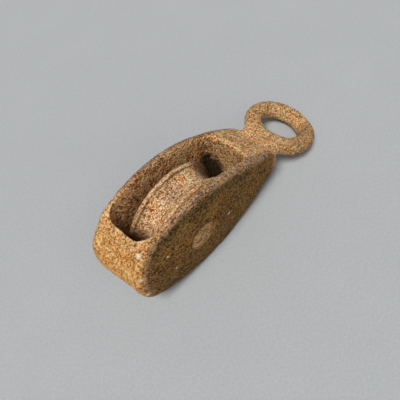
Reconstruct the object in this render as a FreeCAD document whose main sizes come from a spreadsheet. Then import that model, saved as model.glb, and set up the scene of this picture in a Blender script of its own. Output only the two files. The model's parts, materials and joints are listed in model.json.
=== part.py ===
import FreeCAD, Part
import math
import os

import Sketcher
from FreeCAD import Placement, Rotation, Vector

# Pulley block: one cast frame with a fast eye, a grooved sheave and a riveted axle pin.
# Lengths are millimetres. +X runs along the block towards the eye, +Y along the axle
# and +Z out of the slot. The origin is the centre of the eye.

# Driving sizes: name, value, what it measures.
SIZES = [
    ("axle_to_eye", 77.2, "axle centre to eye centre"),
    ("heel_reach", 35.6, "axle centre to the outside of the heel"),
    ("nose_reach", 57.6, "axle centre to the nose of the crown"),
    ("block_height", 53.4, "height over both rims"),
    ("crest_shift", 0.1, "axle centre to the highest point of the rim, along the block"),
    ("crest_radius", 65.0, "side view, radius of the rim over the sheave"),
    ("front_radius", 130.0, "side view, radius of the rim from the crest to the nose"),
    ("nose_radius", 10.5, "side view, radius of the nose"),
    ("heel_radius", 34.0, "side view, radius of the heel face"),
    ("heel_corner_radius", 10.0, "side view, radius between heel face and rim"),
    ("block_width", 32.4, "width over the cheeks at the parting plane"),
    ("widest_shift", 9.1, "axle centre to the widest place, along the block"),
    ("cheek_radius", 366.0, "plan view, radius of a cheek's outer face"),
    ("cheek_draft", 3.7, "degrees, draft of the outer faces from the parting plane"),
    ("rim_chamfer", 1.6, "slope along the outer edge all round a cheek"),
    ("rim_easing", 0.55, "narrower slopes that ease both edges of the first"),
    ("slot_width", 20.8, "width of the sheave slot at the parting plane"),
    ("slot_heel_reach", 28.4, "axle centre to the slot's heel end"),
    ("slot_crown_reach", 34.2, "axle centre to the slot's crown end"),
    ("slot_corner_radius", 6.0, "plan view, radius of the slot's corners"),
    ("slot_draft", 1.5, "degrees, draft of the slot's walls"),
    ("eye_diameter", 37.8, "outside diameter of the eye"),
    ("eye_stock", 8.9, "diameter of the eye's round section"),
    ("eye_bore", 20.5, "diameter of the land inside the eye"),
    ("eye_tilt", 13.4, "degrees, lean of the eye out of the parting plane"),
    ("eye_tilt_heading", 55.7, "degrees from +X, direction of the line the eye leans about"),
    ("neck_width", 21.0, "width of the neck at the notch between crown and eye"),
    ("neck_thickness", 7.8, "thickness of the neck"),
    ("neck_corner_radius", 3.4, "radius of the edges of the neck's section"),
    ("neck_root_depth", 6.8, "nose of the crown back to where the neck leaves it"),
    ("neck_root_height", 19.0, "height of the neck where it leaves the crown"),
    ("neck_run_in", 12.4, "eye centre to where the neck ends inside the eye"),
    ("neck_run_in_width", 27.2, "width of the neck where it ends inside the eye"),
    ("pin_diameter", 9.5, "shank of the axle pin"),
    ("pin_head_diameter", 15.0, "peened head of the axle pin"),
    ("pin_head_flat", 9.0, "diameter of the hammered flat on a head"),
    ("pin_head_land", 0.6, "cheek's widest point to the edge of a head's crown"),
    ("pin_head_depth", 2.2, "depth of the countersunk seat under a head"),
    ("pin_head_crown", 0.7, "height of a head's crown"),
    ("pin_seat_clearance", 0.05, "radial gap between pin and casting"),
    ("sheave_diameter", 50.0, "outside diameter of the sheave"),
    ("sheave_width", 14.4, "width of the sheave over its rim"),
    ("groove_depth", 3.4, "depth of the rope groove"),
    ("rim_lip", 1.5, "flat land each side of the rope groove"),
    ("rim_thickness", 4.0, "solid metal under the rope groove"),
    ("hub_diameter", 19.0, "outside diameter of the hub"),
    ("web_thickness", 8.0, "thickness of the web between hub and rim"),
    ("sheave_chamfer", 0.6, "slope on the outer edges of the sheave's rim and hub"),
    ("running_clearance", 0.08, "radial gap between sheave bore and pin"),
    ("side_clearance", 0.4, "gap between the sheave and the cheek it has slid against"),
]

# How far a cutting outline runs past the metal.
OVERRUN = 1.0


def make_sheet(doc):
    """Write the driving sizes to a spreadsheet, one row and one alias each."""
    sheet = doc.addObject("Spreadsheet::Sheet", "dims")
    for row, (name, value, meaning) in enumerate(SIZES, start=1):
        sheet.set(f"A{row}", name)
        sheet.set(f"B{row}", str(value))
        sheet.set(f"C{row}", meaning)
        sheet.setAlias(f"B{row}", name)
    doc.recompute()
    return sheet


def value_of(owner, formula):
    """Evaluate a formula of sheet values as a plain number."""
    result = owner.evalExpression(formula)
    return float(getattr(result, "Value", result))


def origin_plane(body, role):
    """Find one of a body's own origin planes by its role."""
    for feature in body.Origin.OriginFeatures:
        if feature.Role == role:
            return feature
    raise ValueError(role)


def add_sketch(body, name, role, offset_formula=None):
    """Add a sketch on an origin plane, lifted off it by a formula if one is given."""
    sketch = body.newObject("Sketcher::SketchObject", name)
    sketch.AttachmentSupport = [(origin_plane(body, role), "")]
    sketch.MapMode = "FlatFace"
    if offset_formula:
        sketch.setExpression("AttachmentOffset.Base.z", offset_formula)
    return sketch


def drive(sketch, kind, where, formula):
    """Add a dimension to a sketch and bind it to a formula of sheet values."""
    index = sketch.addConstraint(Sketcher.Constraint(kind, *where, value_of(sketch, formula)))
    sketch.setExpression(f"Constraints[{index}]", formula)


def pin_point(sketch, element, end, x_formula, y_formula):
    """Hold one point of a sketch element at a place given by two formulas."""
    for kind, axis, formula in (("DistanceX", -2, x_formula), ("DistanceY", -1, y_formula)):
        if formula == "0":
            sketch.addConstraint(Sketcher.Constraint("PointOnObject", element, end, axis))
        else:
            drive(sketch, kind, (-1, 1, element, end), formula)


def arc(centre, radius, start, end):
    """Arc of a circle between two angles, counter-clockwise."""
    circle = Part.Circle(Vector(centre[0], centre[1], 0), Vector(0, 0, 1), radius)
    return Part.ArcOfCircle(circle, start, end)


def meet(centre_a, reach_a, centre_b, reach_b):
    """Left-hand meeting point of two circles, seen from centre_a towards centre_b."""
    ax, ay = centre_a
    bx, by = centre_b
    span = math.hypot(bx - ax, by - ay)
    along = (span ** 2 + reach_a ** 2 - reach_b ** 2) / (2 * span)
    across = math.sqrt(reach_a ** 2 - along ** 2)
    ux, uy = (bx - ax) / span, (by - ay) / span
    return ax + along * ux - across * uy, ay + along * uy + across * ux


def heading(start, end):
    """Angle of the direction from one point to another."""
    return math.atan2(end[1] - start[1], end[0] - start[0])


def add_outline(sketch, corners, arcs=None):
    """Draw a closed outline through corners whose x and y are formulas.

    Sides are straight, apart from those in arcs, which maps a side's number to the
    formula of its radius. Such a side turns counter-clockwise from its first corner.
    """
    arcs = arcs or {}
    places = [(value_of(sketch, x), value_of(sketch, y)) for x, y in corners]
    count = len(places)
    for side, start in enumerate(places):
        end = places[(side + 1) % count]
        if side in arcs:
            radius = value_of(sketch, arcs[side])
            centre = meet(start, radius, end, radius)
            turn = (heading(centre, end) - heading(centre, start)) % (2 * math.pi)
            first = heading(centre, start)
            sketch.addGeometry(arc(centre, radius, first, first + turn))
        else:
            sketch.addGeometry(Part.LineSegment(Vector(*start, 0), Vector(*end, 0)))
    for side in range(count):
        sketch.addConstraint(Sketcher.Constraint("Coincident", side, 2, (side + 1) % count, 1))
    for side, (x, y) in enumerate(corners):
        pin_point(sketch, side, 1, x, y)
    for side, radius_formula in arcs.items():
        drive(sketch, "Radius", (side,), radius_formula)


def draw_rim(sketch):
    """Side view of the block above the parting plane.

    The rim is five arcs that run into each other: nose, front, crest, heel corner and
    heel. Each smaller arc is tangent inside the larger one beside it.
    """
    names = ("nose", "front", "crest", "heel_corner", "heel")
    radius = {name: value_of(sketch, f"dims.{name}_radius") for name in names}
    heel_reach = value_of(sketch, "dims.heel_reach")
    nose_reach = value_of(sketch, "dims.nose_reach")
    half_height = value_of(sketch, "dims.block_height / 2")
    crest = (value_of(sketch, "dims.crest_shift"), half_height - radius["crest"])
    nose = (nose_reach - radius["nose"], 0.0)
    heel = (radius["heel"] - heel_reach, 0.0)
    front = meet(nose, radius["front"] - radius["nose"], crest, radius["front"] - radius["crest"])
    corner = meet(
        crest, radius["crest"] - radius["heel_corner"], heel, radius["heel"] - radius["heel_corner"]
    )
    centres = (nose, front, crest, corner, heel)
    turns = (
        0.0, heading(front, nose), heading(front, crest), heading(crest, corner),
        heading(heel, corner), math.pi,
    )
    for name, centre, start, end in zip(names, centres, turns, turns[1:]):
        sketch.addGeometry(arc(centre, radius[name], start, end))
    sketch.addGeometry(Part.LineSegment(Vector(-heel_reach, 0, 0), Vector(nose_reach, 0, 0)))
    nose_arc, front_arc, crest_arc, corner_arc, heel_arc, base = range(6)
    for first in range(heel_arc):
        sketch.addConstraint(Sketcher.Constraint("Tangent", first, 2, first + 1, 1))
    sketch.addConstraint([
        Sketcher.Constraint("Coincident", heel_arc, 2, base, 1),
        Sketcher.Constraint("Coincident", base, 2, nose_arc, 1),
        Sketcher.Constraint("PointOnObject", nose_arc, 3, -1),
        Sketcher.Constraint("PointOnObject", nose_arc, 1, -1),
        Sketcher.Constraint("PointOnObject", heel_arc, 3, -1),
        Sketcher.Constraint("PointOnObject", heel_arc, 2, -1),
    ])
    for element, name in enumerate(names):
        drive(sketch, "Radius", (element,), f"dims.{name}_radius")
    drive(sketch, "DistanceX", (-1, 1, nose_arc, 1), "dims.nose_reach")
    drive(sketch, "DistanceX", (-1, 1, heel_arc, 2), "-dims.heel_reach")
    pin_point(sketch, crest_arc, 3, "dims.crest_shift", "dims.block_height / 2 - dims.crest_radius")


def draw_bow(sketch):
    """Plan view of the waste outside one bowed cheek."""
    bow = value_of(sketch, "dims.cheek_radius")
    top = value_of(sketch, "dims.block_width")
    centre = (value_of(sketch, "dims.widest_shift"), top / 2 - bow)
    left = value_of(sketch, "-dims.heel_reach") - OVERRUN
    right = value_of(sketch, "dims.nose_reach") + OVERRUN
    start = math.acos((right - centre[0]) / bow)
    end = math.acos((left - centre[0]) / bow)
    low_left = Vector(left, centre[1] + bow * math.sin(end), 0)
    low_right = Vector(right, centre[1] + bow * math.sin(start), 0)
    sketch.addGeometry([
        arc(centre, bow, start, end),
        Part.LineSegment(low_left, Vector(left, top, 0)),
        Part.LineSegment(Vector(left, top, 0), Vector(right, top, 0)),
        Part.LineSegment(Vector(right, top, 0), low_right),
    ])
    bow_arc, heel_side, far_side, nose_side = range(4)
    sketch.addConstraint([
        Sketcher.Constraint("Coincident", bow_arc, 2, heel_side, 1),
        Sketcher.Constraint("Coincident", heel_side, 2, far_side, 1),
        Sketcher.Constraint("Coincident", far_side, 2, nose_side, 1),
        Sketcher.Constraint("Coincident", nose_side, 2, bow_arc, 1),
        Sketcher.Constraint("Vertical", heel_side),
        Sketcher.Constraint("Horizontal", far_side),
        Sketcher.Constraint("Vertical", nose_side),
    ])
    drive(sketch, "Radius", (bow_arc,), "dims.cheek_radius")
    pin_point(sketch, bow_arc, 3, "dims.widest_shift", "dims.block_width / 2 - dims.cheek_radius")
    pin_point(sketch, far_side, 1, f"-dims.heel_reach - {OVERRUN}", "dims.block_width")
    drive(sketch, "DistanceX", (-1, 1, far_side, 2), f"dims.nose_reach + {OVERRUN}")


def draw_rounded_rectangle(sketch, sides, radius_formula):
    """Rectangle with four equal rounded corners.

    The sides are the formulas of its left, right, lower and upper place.
    """
    left, right, low, high = (value_of(sketch, formula) for formula in sides)
    turn = value_of(sketch, radius_formula)
    quarter = math.pi / 2
    sketch.addGeometry([
        Part.LineSegment(Vector(left + turn, low, 0), Vector(right - turn, low, 0)),
        arc((right - turn, low + turn), turn, -quarter, 0),
        Part.LineSegment(Vector(right, low + turn, 0), Vector(right, high - turn, 0)),
        arc((right - turn, high - turn), turn, 0, quarter),
        Part.LineSegment(Vector(right - turn, high, 0), Vector(left + turn, high, 0)),
        arc((left + turn, high - turn), turn, quarter, 2 * quarter),
        Part.LineSegment(Vector(left, high - turn, 0), Vector(left, low + turn, 0)),
        arc((left + turn, low + turn), turn, 2 * quarter, 3 * quarter),
    ])
    count = 8
    for first in range(count):
        sketch.addConstraint(Sketcher.Constraint("Tangent", first, 2, (first + 1) % count, 1))
    sketch.addConstraint([
        Sketcher.Constraint("Horizontal", 0),
        Sketcher.Constraint("Vertical", 2),
        Sketcher.Constraint("Equal", 1, 3),
        Sketcher.Constraint("Equal", 3, 5),
        Sketcher.Constraint("Equal", 5, 7),
    ])
    drive(sketch, "Radius", (1,), radius_formula)
    drive(sketch, "DistanceX", (-1, 1, 6, 1), sides[0])
    drive(sketch, "DistanceX", (-1, 1, 2, 1), sides[1])
    drive(sketch, "DistanceY", (-1, 1, 0, 1), sides[2])
    drive(sketch, "DistanceY", (-1, 1, 4, 1), sides[3])


def edges_where(shape, wanted):
    """Names of a shape's edges whose middle point and two ends pass a test."""
    names = []
    for number, edge in enumerate(shape.Edges, start=1):
        first, last = edge.ParameterRange
        points = [edge.valueAt(first + (last - first) * share) for share in (0.0, 0.5, 1.0)]
        if wanted(points):
            names.append(f"Edge{number}")
    return names


def along_rim(points):
    """Test for edges that run round a cheek, clear of the parting plane."""
    start, middle, end = points
    return middle.z > OVERRUN and abs(end.y - start.y) < start.distanceToPoint(end) / 2


def chamfer_rim(body, size_name):
    """Slope the edges that run round both cheeks of the body's latest feature."""
    base = body.Tip
    chamfer = body.newObject("PartDesign::Chamfer", size_name)
    chamfer.Base = (base, edges_where(base.Shape, along_rim))
    chamfer.setExpression("Size", f"dims.{size_name}")
    body.Document.recompute()


def make_block(doc):
    """Cast block: a drafted half above the parting plane, then its mirror image below."""
    body = doc.addObject("PartDesign::Body", "frame_casting")
    rim = add_sketch(body, "rim", "XZ_Plane")
    draw_rim(rim)
    blank = body.newObject("PartDesign::Pad", "blank")
    blank.Profile = rim
    blank.SideType = "Symmetric"
    blank.setExpression("Length", f"dims.block_width + {2 * OVERRUN}")
    doc.recompute()

    bow = add_sketch(body, "bow", "XY_Plane")
    bow.AttachmentOffset = Placement(Vector(), Rotation(Vector(1, 0, 0), 0))
    bow.setExpression("AttachmentOffset.Rotation.Angle", "dims.cheek_draft")
    draw_bow(bow)
    cheek = body.newObject("PartDesign::Pocket", "cheek_face")
    cheek.Profile = bow
    cheek.SideType = "Symmetric"
    cheek.Type = "ThroughAll"
    doc.recompute()
    other = body.newObject("PartDesign::Mirrored", "other_cheek_face")
    other.Originals = [cheek]
    other.MirrorPlane = (origin_plane(body, "XZ_Plane"), [""])
    body.Tip = other
    doc.recompute()

    chamfer_rim(body, "rim_chamfer")
    chamfer_rim(body, "rim_easing")

    opening = add_sketch(body, "slot_outline", "XY_Plane")
    draw_rounded_rectangle(opening, (
        "-dims.slot_heel_reach", "dims.slot_crown_reach",
        "-dims.slot_width / 2", "dims.slot_width / 2",
    ), "dims.slot_corner_radius")
    slot = body.newObject("PartDesign::Pocket", "slot")
    slot.Profile = opening
    slot.Reversed = True
    slot.setExpression("Length", f"dims.block_height / 2 + {OVERRUN}")
    slot.setExpression("TaperAngle", "dims.slot_draft")
    doc.recompute()

    whole = body.newObject("PartDesign::Mirrored", "both_halves")
    whole.TransformMode = "Whole shape"
    whole.MirrorPlane = (origin_plane(body, "XY_Plane"), [""])
    body.Tip = whole
    doc.recompute()
    return body


def add_pin_seats(body):
    """Cut the pin's hole and the countersink under each head, as one groove."""
    sketch = add_sketch(body, "pin_seat_profile", "XY_Plane")
    hole = "dims.pin_diameter / 2 + dims.pin_seat_clearance"
    head = "dims.pin_head_diameter / 2"
    face = "dims.block_width / 2 - dims.pin_head_land"
    under = f"{face} - dims.pin_head_depth"
    clear = f"dims.block_width / 2 + {OVERRUN}"
    add_outline(sketch, [
        ("0", f"-({clear})"), (head, f"-({clear})"), (head, f"-({face})"), (hole, f"-({under})"),
        (hole, under), (head, face), (head, clear), ("0", clear),
    ])
    seats = body.newObject("PartDesign::Groove", "pin_seats")
    seats.Profile = sketch
    seats.ReferenceAxis = (sketch, ["V_Axis"])
    seats.Angle = 360
    body.Document.recompute()


def add_neck_section(body, name, place, width, height):
    """Section of the neck: a rounded bar, at a distance along the eye's own X axis."""
    section = add_sketch(body, name, "YZ_Plane", place)
    draw_rounded_rectangle(section, (
        f"-({width}) / 2", f"({width}) / 2", f"-({height}) / 2", f"({height}) / 2",
    ), "dims.neck_corner_radius")
    return section


def make_eye(doc):
    """Fast eye, flat about its own centre, with the neck that grows out of the crown.

    The neck leaves the crown square with the block and turns into the eye's plane.
    """
    body = doc.addObject("PartDesign::Body", "eye")
    ring = body.newObject("PartDesign::AdditiveTorus", "ring")
    ring.setExpression("Radius1", "(dims.eye_diameter - dims.eye_stock) / 2")
    ring.setExpression("Radius2", "dims.eye_stock / 2")
    doc.recompute()

    notch = "-dims.eye_diameter / 2"
    crown = "-(dims.axle_to_eye - dims.nose_reach + dims.neck_root_depth)"
    rise = "tan(dims.eye_tilt) * sin(dims.eye_tilt_heading)"
    roll = "-atan(tan(dims.eye_tilt) * cos(dims.eye_tilt_heading))"
    root = add_neck_section(
        body, "neck_root_section", crown, "dims.neck_width", "dims.neck_root_height",
    )
    root.setExpression("AttachmentOffset.Base.y", f"({crown}) * {rise}")
    root.setExpression("AttachmentOffset.Rotation.Angle", roll)
    middle = add_neck_section(
        body, "neck_notch_section", notch, "dims.neck_width", "dims.neck_thickness",
    )
    end = add_neck_section(
        body, "neck_end_section", "-dims.neck_run_in", "dims.neck_run_in_width",
        "dims.neck_thickness",
    )
    doc.recompute()
    neck = body.newObject("PartDesign::AdditiveLoft", "neck")
    neck.Profile = root
    neck.Sections = [middle, end]
    doc.recompute()

    land = add_sketch(body, "land_outline", "XY_Plane")
    land.addGeometry(Part.Circle(Vector(), Vector(0, 0, 1), value_of(land, "dims.eye_bore / 2")))
    land.addConstraint(Sketcher.Constraint("Coincident", 0, 3, -1, 1))
    drive(land, "Radius", (0,), "dims.eye_bore / 2")
    bore = body.newObject("PartDesign::Pocket", "eye_land")
    bore.Profile = land
    bore.SideType = "Symmetric"
    bore.Type = "ThroughAll"
    doc.recompute()
    return body


def tilt_eye(eye):
    """Carry the eye to the end of the block and lean it out of the parting plane."""
    heading_angle = math.radians(value_of(eye, "dims.eye_tilt_heading"))
    line = Vector(math.cos(heading_angle), math.sin(heading_angle), 0)
    eye.Placement = Placement(Vector(), Rotation(line, 0))
    eye.setExpression("Placement.Base.x", "dims.axle_to_eye")
    eye.setExpression("Placement.Rotation.Angle", "dims.eye_tilt")


def join_eye(block, eye):
    """Cast the eye and the block as one piece."""
    joined = block.newObject("PartDesign::Boolean", "cast_in_eye")
    joined.setObjects([eye])
    joined.Type = "Fuse"
    block.Tip = joined
    block.Document.recompute()


def add_revolved(body, name, sketch):
    """Turn a sketch once about the axle's line."""
    turned = body.newObject("PartDesign::Revolution", name)
    turned.Profile = sketch
    turned.ReferenceAxis = (sketch, ["V_Axis"])
    turned.Angle = 360
    body.Document.recompute()


def make_pin(doc):
    """Axle pin: a plain shank with a peened, flat-topped head in each countersunk cheek."""
    body = doc.addObject("PartDesign::Body", "axle_pin")
    sketch = add_sketch(body, "pin_profile", "XY_Plane")
    shank = "dims.pin_diameter / 2"
    head = "dims.pin_head_diameter / 2 - dims.pin_seat_clearance"
    face = "dims.block_width / 2 - dims.pin_head_land"
    under = f"{face} - dims.pin_head_depth"
    top = f"{face} + dims.pin_head_crown"
    flat = "dims.pin_head_flat / 2"
    add_outline(sketch, [
        ("0", f"-({top})"), (flat, f"-({top})"), (head, f"-({face})"), (shank, f"-({under})"),
        (shank, under), (head, face), (flat, top), ("0", top),
    ])
    add_revolved(body, "pin_turned", sketch)
    return body


def make_sheave(doc):
    """Sheave: grooved rim, thinner web and a hub as wide as the rim."""
    body = doc.addObject("PartDesign::Body", "sheave")
    sketch = add_sketch(body, "sheave_profile", "XY_Plane")
    side = "dims.sheave_width / 2"
    web = "dims.web_thickness / 2"
    bore = "dims.pin_diameter / 2 + dims.running_clearance"
    hub = "dims.hub_diameter / 2"
    inside = "dims.sheave_diameter / 2 - dims.groove_depth - dims.rim_thickness"
    outside = "dims.sheave_diameter / 2"
    lip = f"{side} - dims.rim_lip"
    groove = f"(({lip})^2 + dims.groove_depth^2) / (2 * dims.groove_depth)"
    slope = "dims.sheave_chamfer"
    right_half = [
        (bore, side), (f"{hub} - {slope}", side), (hub, f"{side} - {slope}"), (hub, web),
        (inside, web), (inside, f"{side} - {slope}"), (f"{inside} + {slope}", side),
        (f"{outside} - {slope}", side), (outside, f"{side} - {slope}"), (outside, lip),
    ]
    left_half = [(x, f"-({y})") for x, y in reversed(right_half)]
    groove_side = len(right_half) - 1
    add_outline(sketch, right_half + left_half, {groove_side: groove})
    add_revolved(body, "sheave_turned", sketch)
    return body


def place(body, y_formula=None):
    """Put a body modelled about the axle centre into the frame of the whole part."""
    body.setExpression("Placement.Base.x", "-dims.axle_to_eye")
    if y_formula:
        body.setExpression("Placement.Base.y", y_formula)


def write_parts(doc, bodies):
    """Check every object and each sub-part's solid, then write one file per sub-part."""
    for obj in doc.Objects:
        if "Invalid" in obj.State or "Error" in obj.State:
            raise RuntimeError(f"{obj.Name} failed: {obj.State}")
    for body in bodies:
        if body.Shape.isNull() or not body.Shape.isValid() or len(body.Shape.Solids) != 1:
            raise RuntimeError(f"{body.Label} has no single valid solid")
    os.makedirs("parts", exist_ok=True)
    for body in bodies:
        body.Shape.exportStep(os.path.join("parts", f"{body.Label}.step"))
        print(body.Label, round(body.Shape.Volume), body.Shape.CenterOfGravity)


def main():
    doc = FreeCAD.newDocument("pulley_block")
    make_sheet(doc)
    casting = make_block(doc)
    add_pin_seats(casting)
    eye = make_eye(doc)
    tilt_eye(eye)
    join_eye(casting, eye)
    pin = make_pin(doc)
    sheave = make_sheave(doc)
    place(casting)
    place(pin)
    place(sheave, "-(dims.slot_width - dims.sheave_width) / 2 + dims.side_clearance")
    doc.recompute()
    write_parts(doc, (casting, pin, sheave))


main()
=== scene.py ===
import json
import math
from types import SimpleNamespace

import bpy
import numpy as np
from mathutils import Matrix, Vector, geometry, noise


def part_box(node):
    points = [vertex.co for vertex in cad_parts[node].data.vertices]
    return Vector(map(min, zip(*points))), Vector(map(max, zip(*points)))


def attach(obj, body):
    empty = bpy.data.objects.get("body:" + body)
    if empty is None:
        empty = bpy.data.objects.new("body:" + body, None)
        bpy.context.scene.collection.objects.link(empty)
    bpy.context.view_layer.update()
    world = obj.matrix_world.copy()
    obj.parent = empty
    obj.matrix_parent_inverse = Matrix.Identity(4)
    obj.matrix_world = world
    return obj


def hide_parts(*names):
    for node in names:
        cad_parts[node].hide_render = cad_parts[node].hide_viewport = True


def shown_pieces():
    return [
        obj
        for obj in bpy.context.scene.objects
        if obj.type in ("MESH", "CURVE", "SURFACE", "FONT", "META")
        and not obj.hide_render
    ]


# A rusted cast pulley block lying on a grey table, as in the photograph.
# Metres, in the frame of the CAD model: +X from the axle to the eye, +Y along the axle
# and +Z out of the sheave slot. The origin is the centre of the eye.

MM = 0.001

# Camera: place and axes fitted to the photograph's outlines, lens for a 36 mm sensor.
CAMERA_PLACE = Vector((-160.0, -83.1, 158.4)) * MM
CAMERA_RIGHT = Vector((0.6639, -0.7476, 0.0189))
CAMERA_BACK = Vector((-0.4752, -0.4023, 0.7825))
LENS = 40.43
SENSOR = 36.0
CAMERA_CLIP = 10 * MM

# The block lies rocked on both rims and the end of its eye: lean of the floor about Y, and
# how far the floor reaches to each side.
FLOOR_LEAN = math.radians(12.8)
FLOOR_REACH = 1.6

# Key light over the heel and a weak fill from the near side: direction to each, how wide
# it looks and its strength. Then the even light of the room and what shows behind the
# floor.
KEY_DIRECTION = Vector((-0.54, -0.11, 0.83))
KEY_WIDTH = math.radians(20)
KEY_STRENGTH = 2.95
FILL_DIRECTION = Vector((-0.30, -0.75, 0.60))
FILL_WIDTH = math.radians(60)
FILL_STRENGTH = 0.45
LAMP_COLOUR = (1.0, 0.98, 0.95)
ROOM_STRENGTH = 0.21
ROOM_COLOUR = (0.94, 0.97, 1.0, 1.0)
BACKDROP_STRENGTH = 0.50
BACKDROP_COLOUR = (0.97, 0.99, 1.0, 1.0)

# Spacing of the fine meshes that carry the rust's relief.
CASTING_VOXEL = 0.40 * MM
SHEAVE_VOXEL = 0.36 * MM
PIN_VOXEL = 0.30 * MM

# Smoothing of those meshes: how far a vertex moves to the mean of its neighbours in one
# pass, and the passes for all of a piece and for the casting's body, neck and worn edges.
CASTING_EASE, CASTING_PASSES = 0.8, 12
SHEAVE_EASE, SHEAVE_PASSES = 0.7, 3
PIN_EASE, PIN_PASSES = 0.7, 5
WORN_EASE = 0.9
BODY_PASSES = 30
NECK_PASSES = 22
EDGE_PASSES = 70

# How relaxed edges are moved back out: passes that spread the move, and its share.
REGAIN_SPREAD = 10
REGAIN_SHARE = 0.8

# Parts of the casting, measured from the axle: where the neck begins, the length over
# which the crown gives way to it, and the slot.
NECK_START = 50 * MM
NECK_BLEND = 8 * MM
SLOT_HALF_WIDTH = 11.3 * MM
SLOT_CROWN_END = 36 * MM
SLOT_HEEL_END = -30 * MM

# From here on a pair of values is a ramp: something begins at the first and is full at the
# second, or begins to fade at the first and is gone at the second.

# Places of the casting that are eased most, measured as above: its body outside the pin's
# heads, its neck, the edges of its nose and those of the slot's mouth at the crown.
BODY_REACH = (9 * MM, 13 * MM)
BODY_FADE = (NECK_START - 6 * MM, NECK_START)
NECK_RISE = (NECK_START - 4 * MM, NECK_START + 2 * MM)
NOSE_RISE = (30 * MM, 42 * MM)
NOSE_FADE = (NECK_START, NECK_START + 5 * MM)
MOUTH_RISE = (22 * MM, 30 * MM)
MOUTH_FADE = (42 * MM, 47 * MM)
MOUTH_HEIGHT = (5 * MM, 9 * MM)
EDGE_ACROSS = (9 * MM, 12 * MM)

# The heel's far lower corner, which the photograph shows further out than the solid: how
# far it is filled out, and where, behind the axle, towards the far side and low down.
HEEL_SWELL = 1.1 * MM
SWELL_BEHIND = (29 * MM, 34 * MM)
SWELL_SIDE = (-8 * MM, 10 * MM)
SWELL_HEIGHT = (2 * MM, 16 * MM)

# Tones of the casting: where its cheeks and crown end, its outside past the slot's walls,
# its ochre heel, the eye, and the near side of the eye, which gets painted shade. FACING is
# the share of a surface's normal that faces sideways or to the heel.
CROWN_FADE = (NECK_START, NECK_START + NECK_BLEND)
OUTSIDE_ACROSS = (SLOT_HALF_WIDTH + 0.4 * MM, SLOT_HALF_WIDTH + 1.6 * MM)
CHEEK_FACING = (0.55, 0.85)
HEEL_FACING = (0.0, 0.5)
HEEL_BEHIND = (24 * MM, 32 * MM)
EYE_RISE = (NECK_START + 6 * MM, NECK_START + 14 * MM)
EYE_NEAR_SIDE = (-15 * MM, -5 * MM)
EYE_SHADE_SHARE = 0.42

# The pale band on the upper rims, by how far a place lies inside the block's outline. It is
# wider, and partly ochre, where the rims are worn towards the heel. The heel's own rim is
# a strip behind the slot. One vertex in OUTLINE_STEP is enough to find the outline.
OUTLINE_STEP = 7
RIM_ACROSS = (10.2 * MM, 11.4 * MM)
RIM_INSET = (1.8 * MM, 3.6 * MM)
RIM_WIDER = 2.2 * MM
RIM_WORN = (14 * MM, 26 * MM)
RIM_OCHRE = 0.6
OCHRE_HIDES_RIM = 0.8
HEEL_RIM_RISE = (28 * MM, 30 * MM)
HEEL_RIM_FADE = (32.5 * MM, 36 * MM)
HEEL_RIM_SHARE = 0.7

# Painted shade: a dark line below that band, and the lower rims, painted dark as shade under the
# block.
SHOULDER_RISE = (2.5 * MM, 4.5 * MM)
SHOULDER_FADE = (5 * MM, 10 * MM)
SHOULDER_HEEL = (22 * MM, 30 * MM)
SHOULDER_CROWN = (24 * MM, 36 * MM)
UNDERSIDE = (-20 * MM, -12 * MM)

# The slot: its upright walls, and the painted shade in its crown end. The shade is darker
# below a ragged line, which is at the height SHADE_START in the middle and leans across the slot.
WALL_UPRIGHT = (0.35, 0.75)
SHADE_START = 2 * MM
SHADE_LEAN = 1.0
SHADE_RAGGED = 3 * MM
SHADE_RAG_SIZE = 2.2 * MM
SHADE_DEPTH = (0.0, 6 * MM)
SHADE_LEAST, SHADE_MORE = 0.38, 0.57
SHADE_ALONG = (23 * MM, 30 * MM)
SHADE_HEIGHT = (15 * MM, 19 * MM)

# Where the sheave's side has rubbed the wall beside it smoother: reach from the axle,
# place across and how much of the relief is gone.
RUBBED_REACH = (26 * MM, 29 * MM)
RUBBED_ACROSS = (-SLOT_HALF_WIDTH - 1.4 * MM, -SLOT_HALF_WIDTH - 0.8 * MM)
RUBBED_SHARE = 0.8

# The sheave: width of the lips beside its groove, where the lips and the painted shade lines
# are, from the rim or from the groove's edge, and its sides, which rub and keep less relief.
SHEAVE_LIP = 1.5 * MM
LIP_RISE = (-0.8 * MM, -0.3 * MM)
LINE_RISE = (-1.3 * MM, -0.6 * MM)
LINE_FADE = (0.1 * MM, 0.5 * MM)
LINE_DEPTH = (-4 * MM, -2.5 * MM)
LINE_BREAKS = (-0.25, 0.25)
LINE_BREAK_SIZE = 9 * MM
SIDE_START = 0.9 * MM
SIDE_OF_HALF_WIDTH = (0.85, 0.95)
SIDE_RUBBED = 0.8

# Radius of the pin's shank, past which the sheave gets its relief, the dark edge of the
# pin's heads, and the distance from the middle at which the heads get their relief.
PIN_RADIUS = 4.75 * MM
BORE_RISE = (PIN_RADIUS + 0.3 * MM, PIN_RADIUS + 1 * MM)
HEAD_EDGE = (-0.8 * MM, -0.2 * MM)
HEAD_EDGE_SHARE = 0.5
HEAD_RISE = (13.8 * MM, 15 * MM)

# Patches of the sheave's rope groove: name, place and radius in mm, and how they fade and
# fray, in shares of the radius. Painted shade darkens the rim on both sides of the part that
# shows, where it goes into the slot; that part is turned towards the heel by END_SHADE_TURN.
SHEAVE_PATCHES = (
    ("pale", (-69.5, -4.6, 21.1), 5.0),
    ("dull", (-82.6, -2.0, 20.9), 6.0),
)
PATCH_EDGE = (0.4, 1.2)
PATCH_RAGGED = 0.5
PATCH_RAG_SIZE = 3 * MM
END_SHADE_TURN = math.radians(14)
END_SHADE_LOBES = 2.5
END_SHADE_EDGE = (-0.9, 0.0)
END_SHADE_RAGGED = 0.25
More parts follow.
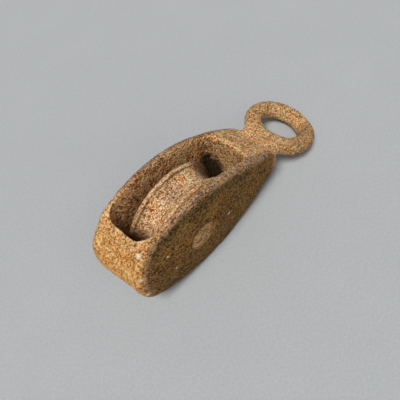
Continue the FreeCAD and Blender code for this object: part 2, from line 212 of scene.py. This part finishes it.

# Painted glints, pale specks that stand out in the photograph: place and radius in mm, and
# how they fade and fray, in shares of the radius.
GLINT_SPOTS = (
    ((-60.9, -16.1, 0.3), 0.8),
    ((-110.7, -13.4, 3.5), 1.0),
    ((-108.7, -13.1, -11.7), 1.1),
    ((-108.7, -10.7, 16.3), 1.2),
    ((-93.1, -14.9, -7.6), 0.9),
    ((-97.5, -14.6, 6.3), 0.6),
    ((-26.4, 5.5, 10.1), 0.6),
    ((-99.4, 12.5, 21.6), 0.6),
)
GLINT_EDGE = (0.6, 1.1)
GLINT_RAGGED = 0.35
GLINT_RAG_SIZE = 0.8 * MM

# Seeds of the noise that frays the slot's painted shade, the painted glints, the sheave's painted
# shade lines and the patches.
SLOT_SHADE_SEED = 43
GLINT_SEED = 41
LINE_SEED = 31
PATCH_SEED = 32

# How far one seed lies from the next in noise and in pits.
NOISE_SHIFT = Vector((17.3, 5.1, 11.7))
PIT_SHIFT = Vector((7.9, 13.3, 3.7))

# Relief: sizes of the noise that makes swell, lumps and grain, and how pits gather.
SWELL_SIZE = 11 * MM
LUMP_RELIEF_SIZE = 3.6 * MM
GRAIN_RELIEF_SIZE = 1.5 * MM
PIT_EDGE = (0.12, 0.60)
PIT_GROUP_SIZE = 7 * MM
PIT_GROUPS = (-0.3, 0.3)

# Textures that make rust lighter or darker: size of their features, ramp of the noise and
# share of the level. Hollows are darker by their depth, which is stored in mm.
MOTTLE_SIZE, MOTTLE_RAMP, MOTTLE_SHARE = 2.6 * MM, (0.30, 0.70), 0.18
GRAIN_SIZE, GRAIN_RAMP, GRAIN_SHARE = 0.7 * MM, (0.25, 0.75), 0.70
PATCH_SIZE, PATCH_RAMP, PATCH_SHARE = 14 * MM, (0.35, 0.65), 0.18
SPECK_SIZE, SPECK_SHARE = 0.46 * MM, 1.30
LUMP_SIZE, LUMP_SHARE = 0.95 * MM, 0.28
HOLLOW_RAMP, HOLLOW_SHARE = (0.05, -0.05), 0.30
EVEN = (1.0, 1.0, 1.0)

# Grain and specks stand out a little too, each by its part of the bump's height.
GRAIN_BUMP = 0.7
SPECK_BUMP = 0.8
BUMP_HEIGHT = 0.22 * MM
BUMP_STRENGTH = 0.9

# Tints that wander over the rust: colour, size of the patches, shift and ramp of the noise
# that places them, and strength.
TINTS = (
    ((255, 214, 140), 4 * MM, 0.5, (0.50, 0.62), 0.35),
    ((255, 222, 214), 5 * MM, 0.8, (0.48, 0.62), 0.45),
)

# How dark pits are, how dull dark and light rust is, and how much all rust reflects.
PIT_RAMP, PIT_SHARE = (0.4, 1.0), 0.45
LEVEL_RAMP, ROUGHNESS_RANGE = (0.2, 0.9), (0.92, 0.70)
RUST_SPECULAR = 0.12

# Tones that aren't rust, as they show on screen: painted shade deep in the slot, painted glints,
# the sheave's painted shade line and painted shade at its rim's ends with their shares, and the
# gap around a pin's head.
SLOT_SHADE_TONE = (16, 9, 4)
GLINT_TONE = (220, 210, 190)
LINE_SHADE_TONE, LINE_SHADE_SHARE = (62, 42, 28), 0.75
END_SHADE_TONE, END_SHADE_SHARE = (58, 36, 18), 0.8
GAP_TONE = (52, 34, 16)

# The table: its two tones, the sizes of its clouds and its fine grain, the grain's share
# and how dull it is.
TABLE_DARK = (158, 161, 164)
TABLE_LIGHT = (172, 175, 178)
TABLE_CLOUD_SIZE = 40 * MM
TABLE_GRAIN_SIZE, TABLE_GRAIN_RAMP, TABLE_GRAIN_SHARE = 1.2 * MM, (0.3, 0.7), 0.5
TABLE_ROUGHNESS = 0.8

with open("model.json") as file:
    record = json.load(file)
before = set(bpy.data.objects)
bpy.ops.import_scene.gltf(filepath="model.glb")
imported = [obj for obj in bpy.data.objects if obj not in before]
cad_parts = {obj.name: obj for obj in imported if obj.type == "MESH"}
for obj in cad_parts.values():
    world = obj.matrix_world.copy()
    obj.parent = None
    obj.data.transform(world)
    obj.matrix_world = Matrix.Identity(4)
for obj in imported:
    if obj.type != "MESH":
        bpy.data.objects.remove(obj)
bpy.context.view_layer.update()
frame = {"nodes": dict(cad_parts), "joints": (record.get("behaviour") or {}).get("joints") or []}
axle = np.array(frame["joints"][0]["pos_m"])


def smoothstep(low, high, value):
    """0 below low, 1 above high, smooth between. Takes arrays too."""
    share = np.clip((value - low) / (high - low), 0.0, 1.0)
    return share * share * (3 - 2 * share)


def rise(ramp, value):
    """0 before a ramp and 1 past it."""
    return smoothstep(*ramp, value)


def fade(ramp, value):
    """1 before a ramp and 0 past it."""
    return 1 - smoothstep(*ramp, value)


def read_vectors(mesh, name):
    """A vector property of a mesh's vertices, as an array of rows."""
    values = np.empty(len(mesh.vertices) * 3)
    mesh.vertices.foreach_get(name, values)
    return values.reshape(-1, 3)


def write_points(mesh, points):
    mesh.vertices.foreach_set("co", points.ravel())
    mesh.update()


def store(mesh, name, values):
    """Keep one number per vertex under a name that materials can read."""
    attribute = mesh.attributes.new(name, "FLOAT", "POINT")
    attribute.data.foreach_set("value", values.astype(np.float32))


def neighbour_mean(mesh):
    """A function that gives, for rows of values per vertex, the mean over its neighbours."""
    edges = np.empty(len(mesh.edges) * 2, dtype=np.int64)
    mesh.edges.foreach_get("vertices", edges)
    first, second = edges.reshape(-1, 2).T
    count = len(mesh.vertices)
    degree = np.bincount(first, minlength=count) + np.bincount(second, minlength=count)

    def mean(rows):
        columns = [
            np.bincount(first, column[second], count) + np.bincount(second, column[first], count)
            for column in rows.T
        ]
        return np.stack(columns, axis=1) / degree[:, None]

    return mean


def remeshed(node, voxel):
    """Fine, even copy of a CAD node's mesh, as a new object in the node's place."""
    work = bpy.data.objects.new(node + "_work", frame["nodes"][node].data.copy())
    bpy.context.scene.collection.objects.link(work)
    modifier = work.modifiers.new("voxels", "REMESH")
    modifier.mode = "VOXEL"
    modifier.voxel_size = voxel
    graph = bpy.context.evaluated_depsgraph_get()
    mesh = bpy.data.meshes.new_from_object(work.evaluated_get(graph))
    bpy.data.objects.remove(work)
    mesh.materials.clear()
    mesh.polygons.foreach_set("use_smooth", [True] * len(mesh.polygons))
    piece = bpy.data.objects.new(node + "_skin", mesh)
    bpy.context.scene.collection.objects.link(piece)
    return piece


def relax(mesh, mean, weight, repeats):
    """Smooth a mesh, each vertex as far as its weight says."""
    points = read_vectors(mesh, "co")
    for _ in range(repeats):
        points += (mean(points) - points) * weight[:, None]
    write_points(mesh, points)


def regain(mesh, mean, sharp):
    """Move a relaxed mesh back out by part of what its edges lost, spread over their sides."""
    points = read_vectors(mesh, "co")
    loss = sharp - points
    for _ in range(REGAIN_SPREAD):
        loss = mean(loss)
    write_points(mesh, points + loss * REGAIN_SHARE)


def noise_field(points, size, seed):
    """Smooth noise from -1 to 1 at each point, with features about size across."""
    shift = NOISE_SHIFT * seed
    return np.array([noise.noise(Vector(point) / size + shift) for point in points])


def pit_field(points, size, seed):
    """1 at the middle of scattered round pits, 0 between them."""
    shift = PIT_SHIFT * seed
    near = np.array([noise.voronoi(Vector(point) / size + shift)[0][0] for point in points])
    return fade(PIT_EDGE, near)


def roughen(mesh, mean, share, swell, lumps, grain, pit_depth, pit_size, seed):
    """Give a skin the relief of rusted iron, and store how hollow each place is.

    The share is how much of the relief each vertex gets. The swell, lumps and grain are
    heights in metres of noise of three sizes.
    """
    points = read_vectors(mesh, "co")
    normals = read_vectors(mesh, "normal")
    groups = rise(PIT_GROUPS, noise_field(points, PIT_GROUP_SIZE, seed))
    pits = pit_field(points, pit_size, seed) * groups
    height = (
        swell * noise_field(points, SWELL_SIZE, seed + 1)
        + lumps * noise_field(points, LUMP_RELIEF_SIZE, seed + 2)
        + grain * noise_field(points, GRAIN_RELIEF_SIZE, seed + 3)
        - pit_depth * pits
    )
    points += normals * (height * share)[:, None]
    write_points(mesh, points)
    hollow = ((mean(points) - points) * normals).sum(axis=1)
    store(mesh, "hollow", hollow / MM)
    store(mesh, "pit", pits)


class Shader:
    """A material's node tree, with short calls for the nodes that the rust needs."""

    def __init__(self, name):
        self.material = bpy.data.materials.new(name)
        self.material.use_nodes = True
        self.tree = self.material.node_tree
        self.surface = self.tree.nodes["Principled BSDF"]
        self.coordinates = self.tree.nodes.new("ShaderNodeTexCoord").outputs["Object"]

    def feed(self, socket, value):
        if isinstance(value, bpy.types.NodeSocket):
            self.tree.links.new(value, socket)
        else:
            socket.default_value = value

    def node(self, kind, inputs=None, **settings):
        made = self.tree.nodes.new(kind)
        for name, value in settings.items():
            setattr(made, name, value)
        for name, value in (inputs or {}).items():
            self.feed(made.inputs[name], value)
        return made

    def placed(self, size, offset, stretch=EVEN):
        """Object coordinates in units of size, stretched along the axes and shifted."""
        scale = tuple(1 / (size * share) for share in stretch)
        inputs = {0: self.coordinates, 1: scale, 2: (offset,) * 3}
        return self.node("ShaderNodeVectorMath", inputs, operation="MULTIPLY_ADD").outputs[0]

    def noise(self, size, detail=2.0, roughness=0.6, offset=0.0, stretch=EVEN):
        """Fractal noise from 0 to 1 with features about size across."""
        made = self.node("ShaderNodeTexNoise", {
            "Vector": self.placed(size, offset, stretch), "Scale": 1.0,
            "Detail": detail, "Roughness": roughness,
        })
        return made.outputs["Fac"]

    def specks(self, size, offset):
        """A random value for each of many small grains about size across."""
        made = self.node("ShaderNodeTexVoronoi", {
            "Vector": self.placed(size, offset), "Scale": 1.0,
        })
        return self.node("ShaderNodeSeparateColor", {0: made.outputs["Color"]}).outputs[0]

    def attribute(self, name):
        return self.node("ShaderNodeAttribute", attribute_name=name).outputs["Fac"]

    def span(self, value, low, high, to_low=0.0, to_high=1.0):
        """Stretch a range of values to another, and stop at its ends."""
        made = self.node("ShaderNodeMapRange", {
            "Value": value, "From Min": low, "From Max": high, "To Min": to_low, "To Max": to_high,
        })
        return made.outputs["Result"]

    def centred(self, value, low=0.0, high=1.0):
        """Stretch a range of values to the one from -0.5 to 0.5."""
        return self.span(value, low, high, -0.5, 0.5)

    def add(self, first, second):
        return self.node("ShaderNodeMath", {0: first, 1: second}, operation="ADD").outputs[0]

    def times(self, first, second):
        return self.node("ShaderNodeMath", {0: first, 1: second}, operation="MULTIPLY").outputs[0]

    def mix(self, share, first, second, blend_type="MIX"):
        """Blend two colours, which are the seventh and eighth inputs of the mix node."""
        made = self.node(
            "ShaderNodeMix", {"Factor": share}, data_type="RGBA", blend_type=blend_type,
        )
        for slot, value in ((6, first), (7, second)):
            self.feed(made.inputs[slot], value)
        return made.outputs[2]

    def tinted(self, base, tint, size, offset, ramp, strength):
        """Tint a colour in wandering patches about size across."""
        place = self.span(self.noise(size, offset=offset), *ramp, 0.0, strength)
        return self.mix(place, base, self.mix(1.0, base, colour(*tint), "MULTIPLY"))

    def bump(self, height, distance, strength):
        made = self.node("ShaderNodeBump", {
            "Height": height, "Distance": distance, "Strength": strength,
        })
        self.feed(self.surface.inputs["Normal"], made.outputs["Normal"])


def colour(red, green, blue):
    """A colour as it shows on screen, 0 to 255, as the linear values that nodes take."""
    shares = (value / 255 for value in (red, green, blue))
    return (*(share / 12.92 if share <= 0.04045 else ((share + 0.055) / 1.055) ** 2.4
              for share in shares), 1.0)


def rust_level(shader, streaks):
    """How light the rust is at a place, and the height of its finest grain."""
    mottle = shader.centred(shader.noise(MOTTLE_SIZE, offset=0.3), *MOTTLE_RAMP)
    fine = shader.noise(GRAIN_SIZE, roughness=0.7, offset=0.6, stretch=streaks)
    grain = shader.centred(fine, *GRAIN_RAMP)
    specks = shader.centred(shader.specks(SPECK_SIZE, offset=0.2))
    lumps = shader.centred(shader.specks(LUMP_SIZE, offset=0.7))
    wide = shader.noise(PATCH_SIZE, roughness=0.5, offset=0.9)
    patches = shader.centred(wide, *PATCH_RAMP)
    hollow = shader.centred(shader.attribute("hollow"), *HOLLOW_RAMP)
    level = 0.5
    for part, share in (
        (mottle, MOTTLE_SHARE), (grain, GRAIN_SHARE), (specks, SPECK_SHARE),
        (lumps, LUMP_SHARE), (patches, PATCH_SHARE), (hollow, HOLLOW_SHARE),
    ):
        level = shader.add(level, shader.times(part, share))
    height = shader.add(shader.times(grain, GRAIN_BUMP), shader.times(specks, SPECK_BUMP))
    return level, height


def rust(name, dark, light, regions=(), streaks=EVEN):
    """Rusted iron that runs from a dark tone in hollows and pits to a light one on grains.

    Each region is a vertex attribute with its own dark and light tone and the share of it
    that shows. Streaks stretch the finer noise along an axis.
    """
    shader = Shader(name)
    level, height = rust_level(shader, streaks)
    low, high = colour(*dark), colour(*light)
    for attribute, region_dark, region_light, share in regions:
        place = shader.times(shader.attribute(attribute), share)
        low = shader.mix(place, low, colour(*region_dark))
        high = shader.mix(place, high, colour(*region_light))
    base = shader.mix(level, low, high)
    for tint in TINTS:
        base = shader.tinted(base, *tint)
    deep = shader.span(shader.attribute("pit"), *PIT_RAMP, 0.0, PIT_SHARE)
    base = shader.mix(deep, base, low)
    roughness = shader.span(level, *LEVEL_RAMP, *ROUGHNESS_RANGE)
    shader.feed(shader.surface.inputs["Roughness"], roughness)
    shader.surface.inputs["Specular IOR Level"].default_value = RUST_SPECULAR
    shader.bump(height, BUMP_HEIGHT, BUMP_STRENGTH)
    return shader, base


def finished(shader, base):
    shader.feed(shader.surface.inputs["Base Color"], base)
    return shader.material


def casting_material():
    """Cast frame: tan crown and eye, ochre heel, brown cheeks, greyer upper rims, painted glints,
    and painted shade below the rims, on the eye's near side and deep in the slot.
    """
    shader, base = rust("rusted_casting", (130, 90, 45), (255, 212, 160), regions=(
        ("ochre", (134, 70, 15), (252, 204, 130), 1.0),
        ("eye", (118, 86, 44), (230, 191, 142), 1.0),
        ("cheek", (43, 24, 3), (156, 118, 60), 1.0),
        ("rim", (78, 55, 36), (186, 152, 118), 0.9),
        # Painted shade below the upper rims, on the lower rims and on the eye's near side.
        ("shoulder_shade", (30, 18, 3), (122, 98, 58), 0.8),
        ("wall", (120, 54, 20), (255, 216, 154), 1.0),
    ))
    # Painted shade, near black, deep in the slot's crown end.
    base = shader.mix(shader.attribute("deep"), base, colour(*SLOT_SHADE_TONE))
    # Painted glints: small pale specks.
    base = shader.mix(shader.attribute("glint"), base, colour(*GLINT_TONE))
    return finished(shader, base)


def sheave_material():
    """Sheave: golden groove, paler lips, a line of painted shade in the groove against them, and
    painted shade where the rim goes into the slot.
    """
    shader, base = rust("rusted_sheave", (116, 76, 34), (246, 208, 160), regions=(
        ("lip", (120, 84, 42), (232, 196, 148), 0.7),
        ("side", (126, 86, 42), (240, 190, 130), 1.0),
        ("pale", (144, 106, 60), (255, 236, 190), 0.8),
        ("dull", (112, 82, 60), (210, 176, 148), 0.7),
    ))
    # Painted shade: a line in the groove beside the lips, and the rim where it goes into the slot.
    for attribute, tone, share in (
        ("line", LINE_SHADE_TONE, LINE_SHADE_SHARE), ("end_shade", END_SHADE_TONE, END_SHADE_SHARE),
    ):
        place = shader.times(shader.attribute(attribute), share)
        base = shader.mix(place, base, colour(*tone))
    return finished(shader, base)


def pin_material():
    """Pin: brown rust with paler streaks across the hammered head."""
    shader, base = rust("rusted_pin", (98, 72, 38), (210, 169, 116), streaks=(3.0, 1.0, 1.2))
    base = shader.mix(shader.attribute("edge"), base, colour(*GAP_TONE))
    return finished(shader, base)


def floor_material():
    """Plain grey table. Seen from underneath it is clear, so that it hides nothing."""
    shader = Shader("table")
    clouds = shader.noise(TABLE_CLOUD_SIZE, detail=4.0)
    grain = shader.span(shader.noise(TABLE_GRAIN_SIZE, detail=1.0), *TABLE_GRAIN_RAMP)
    tone = shader.mix(TABLE_GRAIN_SHARE, clouds, grain)
    base = shader.mix(tone, colour(*TABLE_DARK), colour(*TABLE_LIGHT))
    shader.feed(shader.surface.inputs["Base Color"], base)
    shader.surface.inputs["Roughness"].default_value = TABLE_ROUGHNESS
    clear = shader.node("ShaderNodeBsdfTransparent")
    back = shader.node("ShaderNodeNewGeometry").outputs["Backfacing"]
    choice = shader.node("ShaderNodeMixShader", {
        0: back, 1: shader.surface.outputs[0], 2: clear.outputs[0],
    })
    shader.feed(shader.tree.nodes["Material Output"].inputs["Surface"], choice.outputs[0])
    return shader.material


def dress(piece, node, body, material):
    """Let a finished skin stand for its CAD node."""
    piece.data.materials.append(material)
    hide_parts(node)
    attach(piece, body)


def axle_reach(points):
    """How far each point lies from the axle's line."""
    return np.hypot(points[:, 0] - axle[0], points[:, 2] - axle[2])


def outline_inset(points):
    """How far each point lies inside the block's outline, as seen from the side."""
    block = points[points[:, 0] < axle[0] + NECK_START + NECK_BLEND][::OUTLINE_STEP, ::2]
    corners = block[geometry.convex_hull_2d([Vector(corner) for corner in block])]
    inset = np.full(len(points), np.inf)
    for start, end in zip(corners, np.roll(corners, -1, axis=0)):
        edge = end - start
        cross = edge[0] * (points[:, 2] - start[1]) - edge[1] * (points[:, 0] - start[0])
        inset = np.minimum(inset, cross / np.hypot(*edge))
    return inset


def casting_places(mesh):
    """Points and normals of the casting, with what its marks are measured by."""
    points = read_vectors(mesh, "co")
    normals = read_vectors(mesh, "normal")
    along = points[:, 0] - axle[0]
    across = np.abs(points[:, 1])
    return SimpleNamespace(
        points=points, normals=normals, along=along, across=across,
        upright=np.abs(normals[:, 2]),
        inset=outline_inset(points),
        body=fade(CROWN_FADE, along),
        outside=rise(OUTSIDE_ACROSS, across),
        worn=rise(RIM_WORN, -along),
        underside=fade(UNDERSIDE, points[:, 2]),
    )


def rim_band(at):
    """The upper rims of both cheeks; the lower rims are left out, as they carry painted shade."""
    band = rise(RIM_ACROSS, at.across) * fade(RIM_INSET, at.inset - RIM_WIDER * at.worn)
    return band * (1 - at.underside)


def heel_rim(at):
    """The rim behind the slot."""
    return rise(HEEL_RIM_RISE, -at.along) * fade(HEEL_RIM_FADE, -at.along) * at.upright


def shoulder_line(at):
    """Painted shade: a dark line below the upper rims, and on the lower rims."""
    line = np.maximum(rise(SHOULDER_RISE, at.inset), at.underside)
    line *= fade(SHOULDER_FADE, at.inset)
    line *= fade(SHOULDER_HEEL, -at.along) * fade(SHOULDER_CROWN, at.along)
    return line * at.outside * at.body


def slot_shade(at):
    """Painted shade in the crown end of the slot, darker lower down."""
    depth = SHADE_START + SHADE_LEAN * at.points[:, 1] - at.points[:, 2]
    depth += SHADE_RAGGED * noise_field(at.points, SHADE_RAG_SIZE, SLOT_SHADE_SEED)
    dirt = (SHADE_LEAST + SHADE_MORE * rise(SHADE_DEPTH, depth)) * rise(SHADE_ALONG, at.along)
    return dirt * fade(SHADE_HEIGHT, at.points[:, 2])


def ragged_spot(points, place, radius, ramp, rag):
    """1 in a round spot whose place and radius are in mm, with a frayed edge."""
    distance = np.linalg.norm(points - np.array(place) * MM, axis=1) / (radius * MM)
    return fade(ramp, distance + rag)


def mark_casting(mesh):
    """Store which places of the casting are heel, cheek, rim or slot wall, and where shade and
    glints are painted.
    """
    at = casting_places(mesh)
    band = rim_band(at)
    ochre = rise(HEEL_FACING, -at.normals[:, 0]) * rise(HEEL_BEHIND, -at.along)
    ochre = np.maximum(ochre, RIM_OCHRE * band * at.worn)
    cheek = rise(CHEEK_FACING, np.abs(at.normals[:, 1])) * at.outside * at.body
    band *= at.body * (1 - OCHRE_HIDES_RIM * ochre)
    eye = rise(EYE_RISE, at.along)
    # Painted shade on the near side of the eye.
    eye_shade = EYE_SHADE_SHARE * eye * fade(EYE_NEAR_SIDE, at.points[:, 1])
    in_slot = (
        (at.across < SLOT_HALF_WIDTH) & (at.along > SLOT_HEEL_END) & (at.along < SLOT_CROWN_END)
    )
    store(mesh, "eye", eye)
    store(mesh, "cheek", cheek * (1 - ochre))
    store(mesh, "ochre", ochre)
    store(mesh, "rim", np.maximum(band, HEEL_RIM_SHARE * heel_rim(at)))
    # Painted shade below the upper rims, on the lower rims and on the eye's near side.
    store(mesh, "shoulder_shade", shoulder_line(at) + eye_shade)
    store(mesh, "wall", in_slot * fade(WALL_UPRIGHT, at.upright))
    # Painted shade in the slot's crown end.
    store(mesh, "deep", in_slot * slot_shade(at))
    # Painted glints: small pale specks.
    glint_mask = np.zeros(len(at.points))
    rag = GLINT_RAGGED * noise_field(at.points, GLINT_RAG_SIZE, GLINT_SEED)
    for place, radius in GLINT_SPOTS:
        glint_mask = np.maximum(glint_mask, ragged_spot(at.points, place, radius, GLINT_EDGE, rag))
    store(mesh, "glint", glint_mask)


def ease_worn_edges(mesh, mean):
    """Round the casting's edges where it is worn, most at its nose and its slot's mouth."""
    points = read_vectors(mesh, "co")
    along = points[:, 0] - axle[0]
    across = np.abs(points[:, 1])
    body = rise(BODY_REACH, axle_reach(points)) * fade(BODY_FADE, along)
    nose = rise(NOSE_RISE, along) * fade(NOSE_FADE, along) * rise(EDGE_ACROSS, across)
    mouth = rise(MOUTH_RISE, along) * fade(MOUTH_FADE, along)
    mouth *= rise(MOUTH_HEIGHT, points[:, 2]) * fade(EDGE_ACROSS, across)
    for place, passes in (
        (body, BODY_PASSES), (rise(NECK_RISE, along), NECK_PASSES),
        (nose, EDGE_PASSES), (mouth, EDGE_PASSES),
    ):
        relax(mesh, mean, WORN_EASE * place, passes)


def swell_heel(mesh):
    """Fill out the heel's far lower corner."""
    points = read_vectors(mesh, "co")
    normals = read_vectors(mesh, "normal")
    share = rise(SWELL_BEHIND, axle[0] - points[:, 0]) * rise(SWELL_SIDE, points[:, 1])
    share *= fade(SWELL_HEIGHT, points[:, 2])
    write_points(mesh, points + normals * (HEEL_SWELL * share)[:, None])


def make_casting():
    """Frame: edges eased and the neck run into the crown before the rust goes on."""
    piece = remeshed("frame_casting", CASTING_VOXEL)
    mesh = piece.data
    mean = neighbour_mean(mesh)
    sharp = read_vectors(mesh, "co")
    relax(mesh, mean, np.full(len(mesh.vertices), CASTING_EASE), CASTING_PASSES)
    reach = axle_reach(read_vectors(mesh, "co"))
    ease_worn_edges(mesh, mean)
    regain(mesh, mean, sharp)
    swell_heel(mesh)
    mark_casting(mesh)
    across = read_vectors(mesh, "co")[:, 1]
    rubbed = fade(RUBBED_REACH, reach) * rise(RUBBED_ACROSS, across) * (across < 0)
    roughen(mesh, mean, 1 - RUBBED_SHARE * rubbed, swell=0.20 * MM, lumps=0.12 * MM,
            grain=0.10 * MM, pit_depth=0.30 * MM, pit_size=2.4 * MM, seed=1)
    dress(piece, "frame_casting", "frame", casting_material())


def mark_sheave(mesh):
    """Store which places of the sheave are lip, painted shade line beside a lip, or flank, and
    where shade is painted at the rim's ends.
    """
    low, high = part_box("sheave")
    middle = (low[1] + high[1]) / 2
    radius = (high[0] - low[0]) / 2
    half_width = (high[1] - low[1]) / 2
    points = read_vectors(mesh, "co")
    rim = axle_reach(points) - radius
    across = np.abs(points[:, 1] - middle)
    groove_edge = half_width - SHEAVE_LIP
    lip = rise(LIP_RISE, rim)
    # Painted shade in the groove just inside each lip.
    line = rise(LINE_RISE, across - groove_edge) * (1 - lip)
    line *= fade(LINE_FADE, across - groove_edge) * rise(LINE_DEPTH, rim)
    store(mesh, "lip", lip)
    breaks = rise(LINE_BREAKS, noise_field(points, LINE_BREAK_SIZE, LINE_SEED))
    store(mesh, "line", line * breaks)
    rag = noise_field(points, PATCH_RAG_SIZE, PATCH_SEED)
    for name, place, size in SHEAVE_PATCHES:
        store(mesh, name, ragged_spot(points, place, size, PATCH_EDGE, PATCH_RAGGED * rag))
    # Painted shade on the rim where it goes into the slot, on both sides of the part that shows.
    turn = np.arctan2(points[:, 0] - axle[0], points[:, 2] - axle[2])
    lobes = np.cos(END_SHADE_LOBES * (turn + END_SHADE_TURN))
    store(mesh, "end_shade", fade(END_SHADE_EDGE, lobes + END_SHADE_RAGGED * rag))
    side = rise((groove_edge + SIDE_START, half_width), across)
    store(mesh, "side", side * (1 - lip))


def make_sheave():
    """Sheave: kept smoother on its sides, and smooth in its bore."""
    piece = remeshed("sheave", SHEAVE_VOXEL)
    mesh = piece.data
    mean = neighbour_mean(mesh)
    relax(mesh, mean, np.full(len(mesh.vertices), SHEAVE_EASE), SHEAVE_PASSES)
    mark_sheave(mesh)
    low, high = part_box("sheave")
    points = read_vectors(mesh, "co")
    across = np.abs(points[:, 1] - (low[1] + high[1]) / 2)
    share = 1 - SIDE_RUBBED * rise(SIDE_OF_HALF_WIDTH, across * 2 / (high[1] - low[1]))
    share *= rise(BORE_RISE, axle_reach(points))
    roughen(mesh, mean, share, swell=0.12 * MM, lumps=0.10 * MM, grain=0.09 * MM,
            pit_depth=0.20 * MM, pit_size=2.2 * MM, seed=11)
    dress(piece, "sheave", "sheave", sheave_material())


def make_pin():
    """Pin: rusted heads on a smooth shank."""
    piece = remeshed("axle_pin", PIN_VOXEL)
    mesh = piece.data
    mean = neighbour_mean(mesh)
    relax(mesh, mean, np.full(len(mesh.vertices), PIN_EASE), PIN_PASSES)
    low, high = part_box("axle_pin")
    radius = (high[0] - low[0]) / 2
    points = read_vectors(mesh, "co")
    store(mesh, "edge", HEAD_EDGE_SHARE * rise(HEAD_EDGE, axle_reach(points) - radius))
    on_head = rise(HEAD_RISE, np.abs(points[:, 1]))
    roughen(mesh, mean, on_head, swell=0.05 * MM, lumps=0.06 * MM, grain=0.06 * MM,
            pit_depth=0.06 * MM, pit_size=2.0 * MM, seed=21)
    dress(piece, "axle_pin", "frame", pin_material())


def make_floor():
    """Large plane that touches the block's lowest points, as it lies in the photograph."""
    up = np.array((-math.sin(FLOOR_LEAN), 0, math.cos(FLOOR_LEAN)))
    skins = [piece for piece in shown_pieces() if piece.type == "MESH"]
    lowest = min(float((read_vectors(piece.data, "co") @ up).min()) for piece in skins)
    corners = [(-1, -1, 0), (1, -1, 0), (1, 1, 0), (-1, 1, 0)]
    mesh = bpy.data.meshes.new("floor")
    mesh.from_pydata([Vector(corner) * FLOOR_REACH for corner in corners], [], [(0, 1, 2, 3)])
    mesh.materials.append(floor_material())
    floor = bpy.data.objects.new("floor", mesh)
    bpy.context.scene.collection.objects.link(floor)
    floor.rotation_euler = (0, -FLOOR_LEAN, 0)
    floor.location = up * lowest


def make_light(name, direction, width, strength):
    """Distant round lamp that shines from a direction."""
    data = bpy.data.lights.new(name, "SUN")
    data.angle = width
    data.energy = strength
    data.color = LAMP_COLOUR
    light = bpy.data.objects.new(name, data)
    bpy.context.scene.collection.objects.link(light)
    light.location = direction.normalized()
    light.rotation_euler = direction.to_track_quat("Z", "Y").to_euler()


def make_lights():
    """Soft key, weak fill and the even light of a room that looks pale itself."""
    make_light("key", KEY_DIRECTION, KEY_WIDTH, KEY_STRENGTH)
    make_light("fill", FILL_DIRECTION, FILL_WIDTH, FILL_STRENGTH)
    world = bpy.data.worlds.new("room")
    bpy.context.scene.world = world
    world.use_nodes = True
    tree = world.node_tree
    room = tree.nodes["Background"]
    room.inputs["Color"].default_value = ROOM_COLOUR
    room.inputs["Strength"].default_value = ROOM_STRENGTH
    backdrop = tree.nodes.new("ShaderNodeBackground")
    backdrop.inputs["Color"].default_value = BACKDROP_COLOUR
    backdrop.inputs["Strength"].default_value = BACKDROP_STRENGTH
    path = tree.nodes.new("ShaderNodeLightPath")
    seen = path.outputs["Is Camera Ray"]
    for ray in ("Is Glossy Ray", "Is Transmission Ray"):
        either = tree.nodes.new("ShaderNodeMath")
        either.operation = "MAXIMUM"
        tree.links.new(seen, either.inputs[0])
        tree.links.new(path.outputs[ray], either.inputs[1])
        seen = either.outputs[0]
    choice = tree.nodes.new("ShaderNodeMixShader")
    tree.links.new(seen, choice.inputs[0])
    tree.links.new(room.outputs[0], choice.inputs[1])
    tree.links.new(backdrop.outputs[0], choice.inputs[2])
    tree.links.new(choice.outputs[0], tree.nodes["World Output"].inputs["Surface"])


def make_camera():
    """Camera at the photograph's place and angle."""
    data = bpy.data.cameras.new("camera")
    data.lens = LENS
    data.sensor_width = SENSOR
    data.clip_start = CAMERA_CLIP
    camera = bpy.data.objects.new("camera", data)
    bpy.context.scene.collection.objects.link(camera)
    back = CAMERA_BACK.normalized()
    right = (CAMERA_RIGHT - back * CAMERA_RIGHT.dot(back)).normalized()
    turn = Matrix((right, back.cross(right), back)).transposed()
    camera.matrix_world = Matrix.Translation(CAMERA_PLACE) @ turn.to_4x4()
    bpy.context.scene.camera = camera


make_casting()
make_sheave()
make_pin()
make_floor()
make_lights()
make_camera()
bpy.context.scene.view_settings.view_transform = "Standard"
